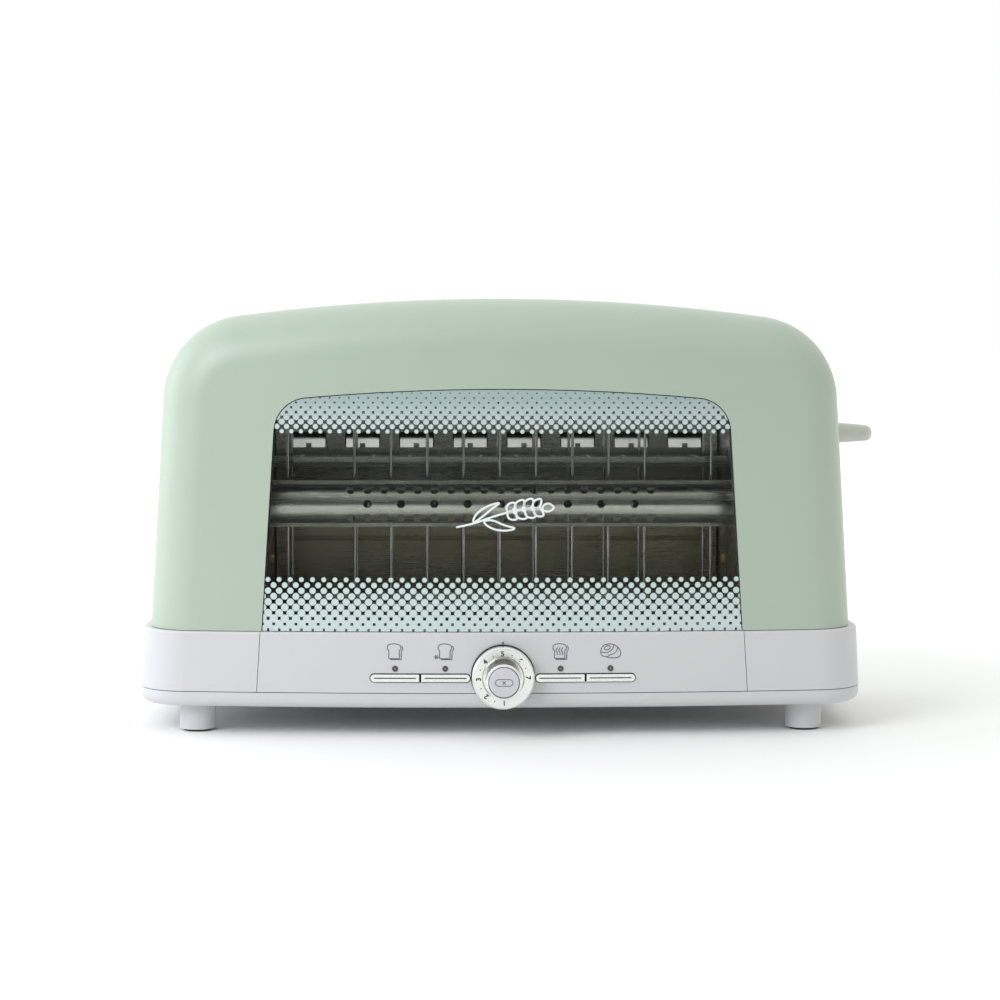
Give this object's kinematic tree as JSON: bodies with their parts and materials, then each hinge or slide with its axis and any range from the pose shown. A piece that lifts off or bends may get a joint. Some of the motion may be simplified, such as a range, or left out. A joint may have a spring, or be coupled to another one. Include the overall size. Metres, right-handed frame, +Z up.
{
  "type": "pop-up toaster",
  "caption": "Long-slot pop-up toaster with a bowed glass window, side lever, browning dial with a cancel button, mode keys and a crumb tray.",
  "frame": {"origin": "on the standing plane, under the middle of the whole toaster with its lever and dial", "axes": "+X to the right, where the lever is; +Y from the window to the back; +Z up"},
  "size_m": [0.3922, 0.1946, 0.2253],
  "materials": {
    "shell_paint": "satin enamel, pale sage green",
    "base_plastic": "light cool grey, fine satin",
    "collar_steel": "brushed, slightly dull",
    "clear_glass": "clear toughened glass",
    "frame_black": "matt black",
    "rubber_black": "matt",
    "silver_controls": "satin silver, turned",
    "button_plastic": "light grey, satin",
    "lamp_lens": "smoked lens",
    "lever_plastic": "warm light grey, satin",
    "zinc_steel": "zinc plated sheet",
    "dark_steel": "dark heat-tinted sheet",
    "cover_steel": "bright rolled sheet",
    "wire_steel": "bright wire",
    "brass_screw": "passivated",
    "quartz": "quartz tube",
    "graphite": "matt graphite",
    "ceramic_white": "unglazed",
    "board_green": "solder mask",
    "switch_black": "moulded",
    "spring_steel": "drawn wire",
    "coil_copper": "enamelled winding"
  },
  "bodies": {
    "body": {"outer_shell": "shell_paint", "slot_collar": "collar_steel", "window_glass": "clear_glass", "window_frame": "frame_black", "base_cover": "base_plastic", "control_panel": "base_plastic", "base_pan": "base_plastic", "feet": "base_plastic", "foot_pads": "rubber_black", "cord_gland": "switch_black", "base_screws": "zinc_steel", "dial_encoder": "switch_black", "status_lenses": "lamp_lens", "control_board": "board_green", "push_switches": "switch_black", "chassis_frame": "zinc_steel", "left_end_plate": "dark_steel", "right_end_plate": "dark_steel", "side_screws": "brass_screw", "top_baffle": "zinc_steel", "front_guard": "wire_steel", "rear_guard": "wire_steel", "rear_reflector": "dark_steel", "rear_heat_shield": "zinc_steel", "heater_cover": "cover_steel", "front_heater_tube": "quartz", "rear_heater_tube": "quartz", "front_heater_element": "graphite", "rear_heater_element": "graphite", "heater_caps": "ceramic_white", "latch_magnet": "coil_copper", "right_guide_rod": "wire_steel", "left_guide_rod": "wire_steel", "return_spring": "spring_steel", "tray_rails": "zinc_steel", "power_board": "board_green", "thermal_fuse": "ceramic_white"},
    "dial": {"dial_knob": "silver_controls", "dial_shaft": "zinc_steel"},
    "cancel": {"cancel_button": "button_plastic"},
    "bread_key": {"key_bread": "silver_controls"},
    "frozen_key": {"key_frozen": "silver_controls"},
    "reheat_key": {"key_reheat": "silver_controls"},
    "roll_key": {"key_roll": "silver_controls"},
    "carriage": {"bread_rack": "dark_steel", "carriage_slider": "switch_black", "left_slider": "switch_black", "lever_arm": "zinc_steel", "lever_knob": "lever_plastic", "latch_keeper": "zinc_steel"},
    "tray": {"crumb_tray": "zinc_steel", "tray_handle": "base_plastic"}
  },
  "joints": [
    {"name": "carriage_slide", "type": "slide", "parent": "body", "child": "carriage", "axis": [0, 0, -1], "range_m": [0, 0.075], "stiffness_N_per_m": 60, "springref_m": -0.04, "deforming": ["return_spring"]},
    {"name": "dial_turn", "type": "hinge", "parent": "body", "child": "dial", "pos_m": [-0.00695, -0.0797, 0.0316], "axis": [0, 1, 0], "range_deg": [-90, 180]},
    {"name": "cancel_press", "type": "slide", "parent": "body", "child": "cancel", "axis": [0, 1, 0], "range_m": [0, 0.0012], "stiffness_N_per_m": 600, "springref_m": -0.0005},
    {"name": "bread_key_press", "type": "slide", "parent": "body", "child": "bread_key", "axis": [0, 1, 0], "range_m": [0, 0.0008], "stiffness_N_per_m": 600, "springref_m": -0.0005},
    {"name": "frozen_key_press", "type": "slide", "parent": "body", "child": "frozen_key", "axis": [0, 1, 0], "range_m": [0, 0.0008], "stiffness_N_per_m": 600, "springref_m": -0.0005},
    {"name": "reheat_key_press", "type": "slide", "parent": "body", "child": "reheat_key", "axis": [0, 1, 0], "range_m": [0, 0.0008], "stiffness_N_per_m": 600, "springref_m": -0.0005},
    {"name": "roll_key_press", "type": "slide", "parent": "body", "child": "roll_key", "axis": [0, 1, 0], "range_m": [0, 0.0008], "stiffness_N_per_m": 600, "springref_m": -0.0005},
    {"name": "tray_slide", "type": "slide", "parent": "body", "child": "tray", "axis": [0, 1, 0], "range_m": [0, 0.13]}
  ]
}
